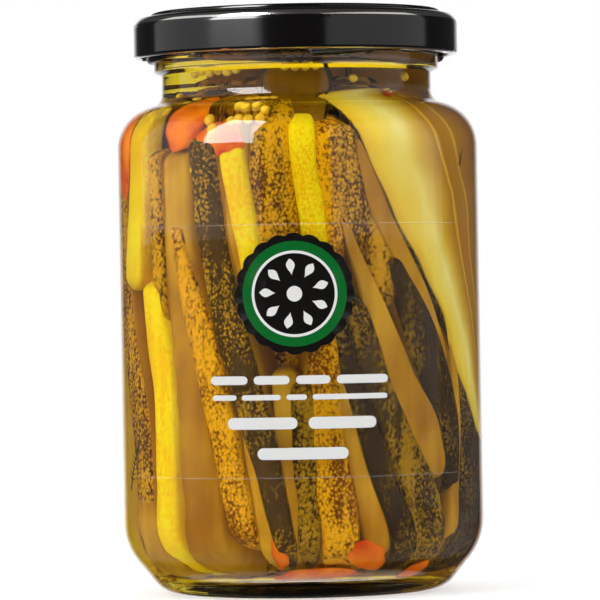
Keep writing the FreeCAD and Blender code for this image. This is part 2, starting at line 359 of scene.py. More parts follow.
def flesh(tree, place, pale, full):
    """Cut flesh clouded between two tones, zoned skin to core, with painted light and shade. Gives its
    colour.
    """
    grain = add(tree, "Mapping", {"Vector": place, "Scale": (1.0, 1.0, 0.08)}).outputs["Vector"]
    fibre = add(tree, "TexNoise", {"Vector": grain, "Scale": 1 / (FIBRE_MM * MM * 2), "Detail": 2.0})
    cloud = add(tree, "TexNoise", {"Vector": place, "Scale": 1 / (CLOUD_MM * MM), "Detail": 2.0})
    blend = add(tree, "Mix", {"Factor": FIBRE_SHARE, 2: cloud.outputs["Fac"],
                              3: fibre.outputs["Fac"]})
    tone = add(tree, "MapRange", {"Value": blend.outputs[0], "From Min": 0.35, "From Max": 0.65})
    clouded = add(tree, "Mix", {"Factor": tone.outputs["Result"], 6: linear(pale), 7: linear(full)},
                  data_type="RGBA")
    # Where a point lies across the broad slice, which sets its zone and its painted light and shade.
    across = add(tree, "Attribute", attribute_name="across")
    drift = add(tree, "Math", {0: cloud.outputs["Fac"], 1: ZONE_DRIFT, 2: across.outputs["Fac"]},
                operation="MULTIPLY_ADD")
    zones = add(tree, "ValToRGB", {"Fac": drift.outputs[0]})
    set_zones(zones.color_ramp)
    zoned = add(tree, "Mix", {"Factor": 1.0, 6: clouded.outputs[2], 7: zones.outputs["Color"]},
                data_type="RGBA", blend_type="MULTIPLY")
    return zoned.outputs[2]


print(len(FLESH_ZONES), "zones of flesh, fibres", FIBRE_MM, "mm, clouds", CLOUD_MM, "mm")

# %% [markdown]
# One finish holds both, since a slice is skin on its long edges and flesh on its faces. Skin and flesh
# could be two materials on two sets of faces. A blend frayed by fine noise looks torn, as a knife leaves
# it.

# %% Cucumber finishes
FRAY = 0.7


def cucumber(name, ground, deep, fleck, share, pale, full):
    """Warty skin over cut flesh. The mesh's "peel" value says where the skin is, and a little noise frays it.

    ground and deep mottle the skin, fleck spots it, and share runs from 0, bare, to 1, all fleck. pale and
    full cloud the flesh.
    """
    material, tree, output = new_material(name)
    place = add(tree, "TexCoord").outputs["Object"]
    skin_colour, height, fine = skin(tree, place, ground, deep, fleck, share)
    peel = add(tree, "Attribute", attribute_name="peel")
    centred = add(tree, "Math", {0: fine, 1: -0.5}, operation="ADD")
    frayed = add(tree, "Math", {0: centred.outputs[0], 1: FRAY, 2: peel.outputs["Fac"]},
                 operation="MULTIPLY_ADD")
    skinned = add(tree, "MapRange", {"Value": frayed.outputs[0], "From Min": 0.35,
                                     "From Max": 0.65})
    flesh_colour = flesh(tree, place, pale, full)
    colour = add(tree, "Mix", {"Factor": skinned.outputs["Result"], 6: flesh_colour, 7: skin_colour},
                 data_type="RGBA")
    tint = add(tree, "Attribute", attribute_name="tone")
    strength = add(tree, "MapRange", {"Value": tint.outputs["Fac"], "To Min": 0.85, "To Max": 1.05})
    toned = add(tree, "HueSaturation", {"Color": colour.outputs[2],
                                        "Value": strength.outputs["Result"]})
    bump = add(tree, "Bump", {"Height": height, "Strength": skinned.outputs["Result"],
                              "Distance": 0.2 * MM})
    shader = add(tree, "BsdfPrincipled", {
        "Base Color": toned.outputs["Color"], "Roughness": 0.42, "IOR": IN_BRINE,
        "Normal": bump.outputs["Normal"]})
    tree.links.new(shader.outputs["BSDF"], output.inputs["Surface"])
    return material


DARK, MIXED, AMBER, PALE, VIVID, BARE, BROWN, OLIVE = range(8)
slice_materials = [
    cucumber("dark_warty_cucumber", "#5C3E0C", "#3A2606", "#DCA404", 0.24, "#D8A414", "#B8840A"),
    cucumber("mixed_skin_cucumber", "#6C3C04", "#442600", "#E4A800", 0.62, "#D8A414", "#B8840A"),
    cucumber("amber_skin_cucumber", "#8C4C00", "#623200", "#F8B400", 0.64, "#D8A414", "#B8840A"),
    cucumber("pale_cucumber", "#4A3814", "#38280C", "#A88A3A", 0.20, "#FFF49C", "#FFE258"),
    # Painted light: bright yellow skin and flesh, partly the slices' own yellow and partly a painted glow of
    # light shining through them.
    cucumber("vivid_glow_cucumber", "#FFCC00", "#F0AC00", "#FFE410", 0.72, "#FFEC28", "#FFD80C"),
    cucumber("bare_cucumber", "#F0C860", "#D8A030", "#FFE080", 0.20, "#E8B628", "#B47E08"),
    # Painted shade: a darker copy of the dark finish, in skin and flesh alike, for slices that stand deep in
    # shade.
    cucumber("shaded_brown_skin_cucumber", "#3E2606", "#281802", "#9C7408", 0.12, "#A87C10", "#80580A"),
    cucumber("olive_skin_cucumber", "#4C3204", "#302002", "#B88A08", 0.55, "#A87C10", "#80580A")]
print("finishes", [material.name for material in slice_materials])

# %% [markdown]
# A slice is one section swept down the jar. The section is a rounded oblong, bent to the jar's round, and a
# few listed knots give its height, its place round the jar and its width. A curve through the knots makes
# the slice bow as a soft one does. It could be sculpted, or bent along a curve object. Rings of points are
# as quick to make and let each point carry its own values.

# %% One slice
RINGS = 40
ROUND = 28
CLEAR = 0.35                # mm between a slice and the glass
SKIN_REACH = 1.3            # mm of skin in from the edge of a slice that stands edge out
FACE_REACH = 0.5            # and of one that stands face out
END = 3.6                   # mm over which an end is rounded
SQUARE = 0.36               # 1 would be a round section, and 0 a square one
BOW_MM = 5                  # half the height over which knots are blended
CORE_RADIUS = 12.0          # mm, inside which a slice gets no wider round the jar
WOBBLE = 0.14               # part of the width by which an edge wanders
DENT_MM = 0.5               # the deepest dent of a face, in mm


def along(knots, column, height):
    """A knot value at a height, rounded off over a centimetre so that the slice bows and doesn't kink."""
    nearby = height + numpy.linspace(-BOW_MM, BOW_MM, 7)
    return float(numpy.mean(numpy.interp(nearby, [k[0] for k in knots], [k[column] for k in knots])))


def add_slice(bm, knots, depth, back, kind, face_out=False, lean=0.0):
    """Sweeps one slice. knots are (height, degrees round from the front, width). back is its gap to the wall.

    A slice stands with a skin edge to the glass, or with a face to it if face_out is true. lean turns its
    inner edge aside, in degrees for each centimetre of depth.
    """
    knots = sorted(knots)
    low, high = knots[0][0], knots[-1][0]
    seed = Vector((random.uniform(0, 90), random.uniform(0, 90), 0))
    # Glowing slices keep the brightest tone as part of their painted glow; the others vary at random.
    tone = 1.0 if kind == VIVID else random.random()
    reach_of_skin = FACE_REACH if face_out else SKIN_REACH
    layers = bm.verts.layers.float
    rings = []
    for row in range(RINGS):
        turn = 0.5 - 0.5 * math.cos(math.pi * row / (RINGS - 1))
        height = low + (high - low) * turn
        width = along(knots, 2, height)
        end = min(height - low, high - height) / END
        shrink = math.sqrt(max(0.02, 1 - (1 - min(1.0, end)) ** 2))
        middle = math.radians(along(knots, 1, height))
        reach = wall_at(height) - CLEAR - back
        ring = []
        for step in range(ROUND):
            angle = 2 * math.pi * (step + 0.5) / ROUND
            across, inward = (math.copysign(abs(f) ** SQUARE, f) for f in (math.cos(angle), math.sin(angle)))
            rim = (1 - abs(across)) * width / 2 if face_out else (1 - abs(inward)) * depth / 2
            wobble = noise.noise(Vector((across * 2, inward * 2, height / 9)) + seed)
            # On a broad pale slice that shows its face, this runs across the face and carries the painted
            # highlight and shade of the flesh; every other slice keeps one even value.
            share = 0.5 + across / 2 if kind == PALE and face_out else 0.3
            across *= width / 2 * shrink * (1 + WOBBLE * wobble)
            radius = reach - depth / 2 + inward * (depth / 2 * shrink) + min(0, DENT_MM * wobble)
            azimuth = middle + across / max(CORE_RADIUS, radius) + math.radians(lean) * (reach - radius) / 10
            vert = bm.verts.new((radius * math.sin(azimuth) * MM, -radius * math.cos(azimuth) * MM,
                                 height * MM))
            if kind != BARE:
                vert[layers["peel"]] = max(0.0, min(1.0, 1.5 - rim / reach_of_skin))
            vert[layers["across"]] = share
            vert[layers["tone"]] = tone
            ring.append(vert)
        rings.append(ring)
    close_rings(bm, rings, kind)


print("a slice is", RINGS, "rings of", ROUND, "points")

# %% [markdown]
# The front rank is placed one by one, from the left edge round to the right, since these slices are what the
# jar shows first. A physics run could drop them in, but then none would stand where it should.

# %% Front rank
front_rank = [
    # knots (height, degrees, width), depth, gap, kind, face out, lean
    ([(102, -86, 12), (75, -84, 11), (60, -79, 10), (48, -71, 10), (36, -67, 9), (24, -65, 8), (8, -65, 8)],
     18, 0.2, MIXED),
    ([(107, -66, 7), (93, -66, 8), (75, -71, 9), (69, -72, 8)], 7, 0.0, VIVID, True),
    ([(101, -57, 5), (93, -56, 5), (75, -54.5, 5), (60, -53, 4)], 22, 0.5, MIXED),
    ([(72, -60, 8), (60, -56, 9), (48, -52.6, 8), (36, -51.6, 8), (8, -52, 8)], 20, 0.0, VIVID),
    ([(24, -66, 8), (14, -63, 11), (7, -58, 13)], 12, 0.0, BARE),
    ([(101, -46, 8), (93, -46, 9), (75, -46, 9), (60, -44, 8), (48, -41, 9), (36, -39, 10), (24, -37, 12),
      (8, -36, 12)], 20, 1.4, BARE),
    ([(85, -46, 4), (75, -43, 5), (62, -36.5, 8), (36, -27, 8), (12, -20, 7)], 22, 0.3, AMBER),
    ([(104, -34, 8), (93, -33, 8), (75, -29.3, 8.5), (62, -25, 9), (36, -14, 8), (9, -5, 5)], 24, 0.0, DARK),
    ([(104, -24, 6), (93, -22, 7), (77, -17, 6), (57, -11, 5)], 18, 0.8, VIVID),
    ([(92, -28, 4), (75, -22, 4), (60, -15, 4)], 18, 2.0, BARE),
    ([(50, -20, 5), (24, -15, 5), (9, -11, 5)], 18, 1.8, BARE),
    ([(109, -9, 9), (104, -9, 10), (93, -8.5, 11), (60, -6, 8)], 12, 1.6, MIXED),
    ([(119, 0, 15), (108, -2, 15), (90, -4, 10)], 6, 3.6, BROWN, True),
    ([(52, -6, 6), (30, -4, 6), (9, -1, 5)], 18, 1.6, BARE),
    ([(50, 0, 6), (30, 1, 6), (9, 2, 5)], 18, 0.8, OLIVE),
    ([(107, 1.5, 6), (100, 1.5, 6), (93, 3.3, 6.5), (78, 6, 6), (60, 8, 5)], 20, 0.3, VIVID),
    ([(106, 11, 8), (93, 10, 6), (75, 10, 8), (55, 9, 9), (36, 8, 9), (26, 10, 9.5), (15, 13, 10),
      (8, 14, 9)], 20, 0.9, AMBER),
    ([(105, 15, 8), (93, 17, 7), (82, 20.5, 8), (75, 28, 8), (64, 37, 9)], 16, 0.4, MIXED),
    ([(84, 15, 2), (75, 19.5, 3), (62, 27.6, 6), (48, 36, 8), (37, 46, 11), (26, 52, 5)], 5, 0.5, BARE),
    ([(104, 20, 4), (93, 24, 6), (82, 31.5, 7), (75, 37.6, 6), (62, 50, 6), (50, 56, 6)], 16, 1.2, BARE),
    ([(113, 38, 28), (106, 48, 40), (93, 58, 40), (82, 63.5, 36), (75, 67, 34), (62, 75, 28), (50, 80, 23),
      (34, 90, 12)], 5, 0.3, PALE, True, 10.0),
    ([(68, 17, 6), (56, 23, 8), (48, 25.5, 8), (37, 33, 9), (26, 42, 12), (15, 48, 11), (8, 50, 9)],
     20, 0.2, OLIVE),
    ([(66, 12, 4), (48, 17.5, 5), (37, 22.5, 6), (26, 28, 7), (15, 35.5, 8), (8, 39, 8)], 24, 0.0, BROWN),
    ([(50, 14, 3), (37, 16, 4), (26, 20.5, 5), (15, 26, 6.5), (9, 28, 6)], 24, 0.9, BARE),
    ([(77, 31, 3), (68, 38, 8), (58, 45, 11), (48, 52, 13), (37, 59, 8), (22, 58, 6)], 16, 0.3, BROWN),
    ([(62, 59, 3), (48, 62, 4), (37, 62.5, 4), (26, 61, 4), (12, 59, 5)], 14, 0.6, BARE),
    ([(54, 72, 10), (37, 75, 14), (26, 74, 16), (8, 70, 18)], 18, 0.8, BROWN),
    ([(96, -110, 7), (60, -101, 8), (34, -96, 9), (9, -92, 9)], 14, 0.2, VIVID)]
print(len(front_rank), "slices placed by hand")

# %% [markdown]
# The rest of the jar is packed with slices spread by a seeded shuffle, with a second rank nearer the axis,
# so that the jar is full from every side. Copies of one slice could fill it faster, but the eye finds
# copies at once.

# %% All slices
BACK_SLICES = 20
BACK_START = 97             # degrees round from the front
BACK_STEP = 8.8
INNER_SLICES = 11
INNER_STEP = 33
CLEAR_BAND = (196, 268)     # degrees in which slices keep off the glass, so that clear brine shows
LIT_SIDE = 240              # past this many degrees the slices are lighter
FACE_OUT_SHARE = 0.2
DEEPEST = 28                # mm in from the glass that a slice may reach


def packed_slices():
    """All slices as one mesh: those placed one by one, then the shuffled ones."""
    bm = bmesh.new()
    for name in ("peel", "across", "tone"):
        bm.verts.layers.float.new(name)
    for place in front_rank:
        add_slice(bm, *place)
    for place in range(BACK_SLICES):
        middle = BACK_START + place * BACK_STEP + random.uniform(-2, 2)
        tilt = random.uniform(-9, 9)
        low, high = random.uniform(7, 12), random.uniform(104, 119)
        face_out = random.random() < FACE_OUT_SHARE
        width, depth = random.uniform(*((18, 26) if face_out else (5, 8))), 5
        if not face_out:
            depth = random.uniform(18, 25)
        kind = PALE if face_out else random.choice((DARK, DARK, MIXED, MIXED, AMBER, BARE, VIVID))
        # On the lit side, dark and mixed slices take the lighter amber finish instead: painted light.
        if middle > LIT_SIDE and kind in (DARK, MIXED):
            kind = AMBER
        gap = random.uniform(9, 11) if CLEAR_BAND[0] < middle < CLEAR_BAND[1] else random.uniform(0.0, 1.8)
        add_slice(bm, [(low, middle - tilt, width), (60, middle + random.uniform(-3, 3), width),
                       (high, middle + tilt, width)], min(depth, DEEPEST - gap), gap, kind, face_out,
                  random.uniform(-6, 6))
    for place in range(INNER_SLICES):
        middle = place * INNER_STEP + random.uniform(-9, 9)
        tilt = random.uniform(-14, 14)
        low, high = random.uniform(7, 10), random.uniform(112, 120)
        add_slice(bm, [(low, middle - tilt, 12), (high, middle + tilt, 10)], 9, random.uniform(12, 19),
                  random.choice((MIXED, AMBER, DARK, PALE)))
    return as_mesh(bm, "pickle_slices")


put_in("pickle_slices", packed_slices(), slice_materials)

# %% [markdown]
# ## Mustard seeds
# Whole yellow mustard seeds are round and 2.4 mm across, with a dry-looking coat that drifts from lemon to
# gold. Some float in the neck and some lie on the floor of the jar. Particles or geometry nodes could
# scatter them. A list of places puts those in front where they should be, and all of them stay one mesh.

# %% Places of the seeds
SEED = 2.4
SEEDS_BEHIND = 40
SEEDS_ON_FLOOR = 36


def spot(height, degrees, gap):
    """A point in metres at a height, so many degrees round from the front, and that far in from the glass."""
    radius = wall_at(height) - gap
    turn = math.radians(degrees)
    return Vector((radius * math.sin(turn), -radius * math.cos(turn), height)) * MM


# a cluster at the shoulder, two rows under the lid, strays near them, then those behind and on the floor
seed_spots = [spot(105.6 + 1.9 * (i % 3) + random.uniform(-0.4, 0.4), -24 + 3.5 * (i // 3) + 1.5 * (i % 3)
                   + random.uniform(-0.8, 0.8), 1.3 + 0.4 * (i % 2)) for i in range(12)]
seed_spots += [spot(118.2, -5 + 4.6 * i, 1.6) for i in range(4)]
seed_spots += [spot(117.4 + 0.3 * (i % 2), -52 + 4.8 * i, 1.8) for i in range(6)]
seed_spots += [spot(107 + 1.5 * i, -56 + 3 * i, 1.7) for i in range(3)]
seed_spots += [spot(105.6 - 1.7 * i, -32 + 2.2 * i, 1.5) for i in range(2)]
seed_spots += [spot(h, d, 1.6) for h, d in ((115.4, 27), (95.5, -37), (112, 46), (116, 58))]
seed_spots += [spot(random.uniform(104, 120), random.uniform(90, 300), random.uniform(1.5, 4))
               for i in range(SEEDS_BEHIND)]
seed_spots += [spot(random.uniform(7, 10), random.uniform(75, 285), random.uniform(1.5, 9))
               for i in range(SEEDS_ON_FLOOR)]
print(len(seed_spots), "seeds")

# %% [markdown]
# Each seed is a ball pressed a little flat, no two quite the same size. A sphere with a grid of faces would
# bunch them at its poles, so an icosphere is used, whose faces are even.

# %% Seeds
def seed_mesh():
    """All seeds as one mesh."""
    bm = bmesh.new()
    for place in seed_spots:
        radius = SEED / 2 * MM * random.uniform(0.88, 1.06)
        made = bmesh.ops.create_icosphere(bm, subdivisions=2, radius=radius)
        squash = random.uniform(0.88, 1.0)
        for vert in made["verts"]:
            vert.co = Vector((vert.co.x, vert.co.y, vert.co.z * squash)) + place
    return as_mesh(bm, "mustard_seeds", outward=False)


seed_coat = mottled("mustard_seed_coat", "#FFE040", "#FFBC18", SEED, {"Roughness": 0.4, "IOR": IN_BRINE})
put_in("mustard_seeds", seed_mesh(), [seed_coat])

# %% [markdown]
# ## Pepper pieces
# Small thick pieces cut from orange and red peppers. Their smooth wet flesh runs from orange to red within
# a piece. They could be cut out of a bent sheet with booleans. A ball squared off a little and bent to the
# round of the glass gives the same soft corners in fewer steps.

# %% Pepper pieces
PEPPER_PATCH_MM = 7.0
PEPPER_THICK = 1.3          # mm from the middle of a piece to its face
PEPPER_SQUARE = 0.88        # 1 would be a ball, and 0 a block
PEPPER_BEND = 0.22          # how far noise swells or pinches a piece

pepper_cuts = [  # height, degrees, gap, width, length, tilt in degrees
    (99, -79, 1.2, 9, 20, 0), (105, -43, 2.4, 9, 11, -50), (101.5, -27, 2.2, 11, 7, 0),
    (11.5, -9, 2.6, 3.4, 6, 10), (7, 5, 3.0, 17, 2.6, 3), (10.5, 23, 1.9, 9, 5, -18),
    (7.6, 48, 2.2, 6, 3, 20), (111, 45, 1.4, 2, 3, 0), (100, 150, 2.0, 9, 12, 30),
    (50, 205, 1.2, 7, 14, -20), (14, 240, 2.0, 9, 6, 60)]


def pepper_mesh():
    """All pepper pieces as one mesh, each one bent round the jar at its own tilt."""
    bm = bmesh.new()
    for height, degrees, gap, width, length, tilt in pepper_cuts:
        made = bmesh.ops.create_icosphere(bm, subdivisions=4, radius=1.0)
        seed = Vector((height, degrees, 0))
        for vert in made["verts"]:
            x, y, z = (math.copysign(abs(c) ** PEPPER_SQUARE, c) for c in vert.co)
            bend = 1 + PEPPER_BEND * noise.noise(vert.co * 1.4 + seed)
            x, z = x * width / 2 * bend, z * length / 2 * bend
            cosine, sine = math.cos(math.radians(tilt)), math.sin(math.radians(tilt))
            x, z = x * cosine - z * sine, x * sine + z * cosine
            radius = wall_at(height + z) - gap + y * PEPPER_THICK
            azimuth = math.radians(degrees) + x / radius
            vert.co = Vector((radius * math.sin(azimuth), -radius * math.cos(azimuth), height + z)) * MM
    return as_mesh(bm, "pepper_pieces", outward=False)


pepper_flesh = mottled("pepper_flesh", "#FF8C00", "#D84400", PEPPER_PATCH_MM,
                       {"Roughness": 0.3, "IOR": IN_BRINE}, drift=(0.35, 0.65))
put_in("pepper_pieces", pepper_mesh(), [pepper_flesh])

# %% [markdown]
# ## Dill
# Sprigs of dill lie flat on the slices: a thin stem with finer leaflets on both sides, dulled to olive by
# the vinegar. Hair or curve objects could draw them. Tapered five-sided threads come out as plain mesh,
# which keeps its shape wherever the part goes.

# %% Dill
DILL_PATCH_MM = 2.0
STEM_MM = 0.55
LEAFLET_MM = 0.3
LEAFLET_LENGTH = 2.6
THREAD_SIDES = 5
TAPER = 0.6                 # part of its thickness that a thread loses by its end
BARE_BIT = 5                # a sprig shorter than this, in mm, has no leaflets
DILL_GAP = 0.45             # mm between a sprig and the glass
BEND_RADIUS = 38            # mm, near the wall's own radius, which turns a way across into an angle


def add_thread(bm, points, thick):
    """A thread through points in metres, tapered to its end."""
    rings = []
    for i, point in enumerate(points):
        ahead = (points[min(i + 1, len(points) - 1)] - points[max(i - 1, 0)]).normalized()
        side = ahead.cross(point.normalized()).normalized()
        up = side.cross(ahead)
        radius = thick / 2 * MM * (1 - TAPER * i / (len(points) - 1))
        rings.append([bm.verts.new(point + radius * (math.cos(a) * side + math.sin(a) * up))
                      for a in (2 * math.pi * k / THREAD_SIDES for k in range(THREAD_SIDES))])
    close_rings(bm, rings)


dill_sprigs = [  # height, degrees, length, tilt in degrees
    (112, 44, 3, 70), (111, 13, 3, 30), (12, 215, 11, 60), (96, 66, 4, 20), (70, 110, 14, 10),
    (104, 140, 12, 75), (35, 165, 16, -12), (88, 190, 15, 25), (58, 232, 13, -8), (106, 262, 10, 80),
    (24, 285, 12, 15), (113, 320, 8, 88)]


def dill_mesh():
    """All sprigs as one mesh."""
    bm = bmesh.new()
    for height, degrees, length, tilt in dill_sprigs:
        turn = math.radians(tilt)

        def point(run, aside=0.0):
            """A point so far up the stem and so far aside of it, on the round of the glass."""
            across = run * math.sin(turn) + aside * math.cos(turn) + 0.02 * run * run
            upward = run * math.cos(turn) - aside * math.sin(turn)
            return spot(height + upward, degrees + math.degrees(across / BEND_RADIUS), DILL_GAP)

        add_thread(bm, [point(length * i / 10) for i in range(11)], STEM_MM)
        if length < BARE_BIT:
            continue
        for i in range(2, 10):
            for side in (-1, 1):
                run = length * i / 10
                leaf = LEAFLET_LENGTH * (1.1 - i / 12)
                tips = [point(run + 0.5 * leaf * k / 3, side * leaf * k / 3) for k in range(4)]
                add_thread(bm, tips, LEAFLET_MM)
    return as_mesh(bm, "dill_sprigs")


dill_leaf = mottled("pickled_dill", "#4C4210", "#2C2606", DILL_PATCH_MM, {"Roughness": 0.5, "IOR": IN_BRINE})
put_in("dill_sprigs", dill_mesh(), [dill_leaf])

# %% [markdown]
# ## Lid and seal
# The lid is pressed tinplate, roller-coated with black lacquer and baked. Lacquer lies smooth and glossy
# over the steel, with a very faint orange peel, so it mirrors the studio in soft shapes. The seal is
# off-white compound, cured dull. Both keep their construction meshes, as the folds are all in those, and
# only get finishes here.

# %% Lacquer and seal compound
PEEL_MM = 1.6
SHEET = 0.25
TIN_BELOW = 1.6             # mm under the lid's top, from where its inside is bare tin
SEAL_PATCH_MM = 3.0
lid_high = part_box("lid")[1]


def baked_lacquer():
    """Black lacquer outside. The inside of the skirt, its curl and its hooks are left as bright tin."""
    material, tree, output = new_material("baked_black_lacquer")
    place = add(tree, "TexCoord").outputs["Object"]
    parts = add(tree, "SeparateXYZ", {"Vector": place})
    flat = add(tree, "CombineXYZ", {"X": parts.outputs["X"], "Y": parts.outputs["Y"]})
    radius = add(tree, "VectorMath", {0: flat.outputs["Vector"]}, operation="LENGTH")
    within = add(tree, "Math", {0: radius.outputs["Value"], 1: lid_high.x - SHEET * MM / 2},
                 operation="LESS_THAN")
    under = add(tree, "Math", {0: parts.outputs["Z"], 1: lid_high.z - TIN_BELOW * MM},
                operation="LESS_THAN")
    tin = add(tree, "Math", {0: within.outputs[0], 1: under.outputs[0]}, operation="MULTIPLY")
    colour = add(tree, "Mix", {"Factor": tin.outputs[0], 6: linear("#0C0A0B"),
                               7: linear("#D8D6D0")}, data_type="RGBA")
    peel = add(tree, "TexNoise", {"Vector": place, "Scale": 1 / (PEEL_MM * MM)})
    bump = add(tree, "Bump", {"Height": peel.outputs["Fac"], "Strength": 0.05,
                              "Distance": 0.02 * MM})
    shader = add(tree, "BsdfPrincipled", {
        "Base Color": colour.outputs[2], "Metallic": tin.outputs[0], "Roughness": 0.13,
        "Normal": bump.outputs["Normal"]})
    tree.links.new(shader.outputs["BSDF"], output.inputs["Surface"])
    return material


seal_compound = mottled("seal_compound", "#E9E5DA", "#D8D2C2", SEAL_PATCH_MM, {"Roughness": 0.55})
for node, material in (("lid", baked_lacquer()), ("lid_seal", seal_compound)):
    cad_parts[node].data.materials.clear()
    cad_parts[node].data.materials.append(material)
    print(node, "gets", material.name)

# %% [markdown]
# ## Film and print
# The label is clear polypropylene film, so thin that only its edges catch the light. It could be left out,
# or refract as the glass does. An all but clear finish with a thin pale border painted along each edge, a
# painted highlight for the light those edges catch, shows them as faint lines and costs no more than that.

# %% Clear film
BORDER_SHOWS = 0.15
BORDER_IN = 0.2             # mm from the film's edge, where the border starts
BORDER_OUT = 0.12           # and where it is at its full strength
film_low, film_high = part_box("label_film")


def clear_film():
    """Clear film with a painted highlight, a faint pale line, along its upper and lower edges."""
    material, tree, output = new_material("clear_polypropylene_film")
    place = add(tree, "TexCoord").outputs["Object"]
    parts = add(tree, "SeparateXYZ", {"Vector": place})
    middle = (film_low.z + film_high.z) / 2
    away = add(tree, "Math", {0: parts.outputs["Z"], 1: middle}, operation="SUBTRACT")
    size = add(tree, "Math", {0: away.outputs[0]}, operation="ABSOLUTE")
    half = (film_high.z - film_low.z) / 2
    # The pale border is a painted highlight for the light that the film's cut edges catch.
    border = add(tree, "MapRange", {"Value": size.outputs[0], "From Min": half - BORDER_IN * MM,
                                    "From Max": half - BORDER_OUT * MM, "To Max": BORDER_SHOWS})
    shader = add(tree, "BsdfPrincipled", {"Base Color": linear("#F4F1E6"), "Roughness": 0.2,
                                          "Alpha": border.outputs["Result"]})
    tree.links.new(shader.outputs["BSDF"], output.inputs["Surface"])
    return material


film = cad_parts["label_film"]
film.data.materials.clear()
film.data.materials.append(clear_film())
print("film", round((film_high.z - film_low.z) / MM, 1), "mm high")

# %% [markdown]
# Opaque ink lies on the film in thin even layers, a little glossier than paint. It could be a picture laid
# on the film, but a picture has no shape of its own. Here each colour is a thin curved sheet, one layer
# above the last.

# %% Ink
INK_LIFT = 0.02
INK_DEPTH = 0.03
INK_FILL = 0.9              # of its depth that a layer fills, so that layers don't share a face
INK_GRAIN_MM = 0.5
INK_GREY = 0.03             # most grey that the grain mixes into an ink
film_radius = max(v.co.xy.length for v in film.data.vertices) / MM


def printed(name, shapes, layer):
    """A thin layer of ink on the round film. A shape is rows of (across, height) points in mm."""
    bm = bmesh.new()
    radius = film_radius + INK_LIFT + layer * INK_DEPTH
    for rows in shapes:
        skins = []
        for lift in (0.0, INK_DEPTH * INK_FILL):
            skins.append([[bm.verts.new(((radius + lift) * math.sin(x / radius) * MM,
                                         -(radius + lift) * math.cos(x / radius) * MM, z * MM))
                           for x, z in row] for row in rows])
        for grid in skins:
            for one, two in zip(grid, grid[1:]):
                for i in range(len(one) - 1):
                    bm.faces.new((one[i], one[i + 1], two[i + 1], two[i]))
        back, front = skins
        rim = [(0, i) for i in range(len(rows[0]))]
        rim += [(j, len(rows[0]) - 1) for j in range(1, len(rows))]
        rim += [(len(rows) - 1, i) for i in range(len(rows[0]) - 2, -1, -1)]
        rim += [(j, 0) for j in range(len(rows) - 2, 0, -1)]
        for (j, i), (n, m) in zip(rim, rim[1:] + rim[:1]):
            bm.faces.new((back[j][i], back[n][m], front[n][m], front[j][i]))
    return as_mesh(bm, name)


print("ink lies at", round(film_radius, 2), "mm from the jar's axis")

# %% [markdown]
# The badge is a plain cucumber slice seen end on, in black, green and white, and plain white bars stand
# where wording would be. Text objects could draw letters, but bars keep the part free of any wording. Each
# shape is a grid of points, rows from edge to edge, so that it bends round the jar smoothly.

# %% Shapes of the print
BADGE_X, BADGE_Z, BADGE_R = -1.2, 67.7, 13.4
SCALLOP = 0.6               # mm that the badge's edge swings by
SEED_IN = 4.2               # mm from the badge's middle to a drawn seed's point
SEED_LONG = 3.6
SEED_HALF = 0.95


def disc(radius_at, inner=0.0, x=BADGE_X, z=BADGE_Z, steps=144):
    """Rows of points from an inner radius to an outer one that may change round the disc."""
    rows = []
    for ring in range(5):
        share = ring / 4
        row = []
        for i in range(steps + 1):
            a = 2 * math.pi * i / steps
            r = max(0.01, inner + (radius_at(a) - inner) * share)
            row.append((x + r * math.cos(a), z + r * math.sin(a)))
        rows.append(row)
    return rows


def bar(left, right, height, thick):
    """A bar with round ends, as columns of points."""
    columns = []
    count = max(8, int((right - left) / 0.6))
    for i in range(count + 1):
        x = (left + right) / 2 - (right - left) / 2 * math.cos(math.pi * i / count)
        end = min(x - left, right - x)
        half = thick / 2 * math.sqrt(max(0.0004, 1 - (1 - min(1.0, end / (thick / 2))) ** 2))
        columns.append([(x, height - half), (x, height), (x, height + half)])
    return columns


def drop(a):
    """A seed, pointed towards the middle of the badge."""
    rows = []
    for i in range(11):
        r = SEED_IN + SEED_LONG * i / 10
        half = SEED_HALF * math.sin(math.pi * (i / 10) ** 1.4) + 0.01
        rows.append([(BADGE_X + r * math.cos(a) - s * half * math.sin(a),
                      BADGE_Z + r * math.sin(a) + s * half * math.cos(a)) for s in (-1, 0, 1)])
    return rows


print("badge", 2 * BADGE_R, "mm across, its middle", BADGE_Z, "mm up")

# %% [markdown]
# Four layers go on from the back: a scalloped black edge, a green ring, a black middle, then all that is
# white. They could be one mesh with four materials, but a piece for each ink is easy to find and to change.

# %% Print
words = [  # left, right, height and thickness of each bar, in mm
    (-20.8, -12.0, 48.8, 1.9), (-10.6, -2.6, 48.8, 1.9), (-1.2, 6.4, 48.8, 1.9), (7.8, 19.8, 48.8, 1.9),
    (-20.4, -14.6, 45.0, 1.2), (-13.4, -4.6, 45.0, 1.2), (-3.4, 1.2, 45.0, 1.2), (2.4, 19.6, 45.0, 1.2),
    (-16.8, -1.0, 39.3, 2.6), (1.4, 16.8, 39.3, 2.6), (-10.0, 10.2, 32.6, 2.6)]
black, green, white = (mottled(name, colour, "#808080", INK_GRAIN_MM, {"Roughness": 0.08}, most=INK_GREY)
                       for name, colour in (("black_ink", "#0C0A08"), ("green_ink", "#006B26"),
                                            ("white_ink", "#F6F6F4")))
rosette = disc(lambda a: BADGE_R - SCALLOP + SCALLOP * abs(math.cos(10 * a)), steps=240)
layers = [
    ("badge_rosette", [rosette], black),
    ("badge_green", [disc(lambda a: 11.6)], green),
    ("badge_core", [disc(lambda a: 8.9)], black),
    ("badge_seeds", [drop(2 * math.pi * i / 9 + 0.3) for i in range(9)] + [disc(lambda a: 1.7)]
     + [disc(lambda a: 9.5, 8.9)] + [bar(*word) for word in words], white)]
for order, (name, shapes, material) in enumerate(layers):
    put_in(name, printed(name, shapes, order), [material], smooth=False)

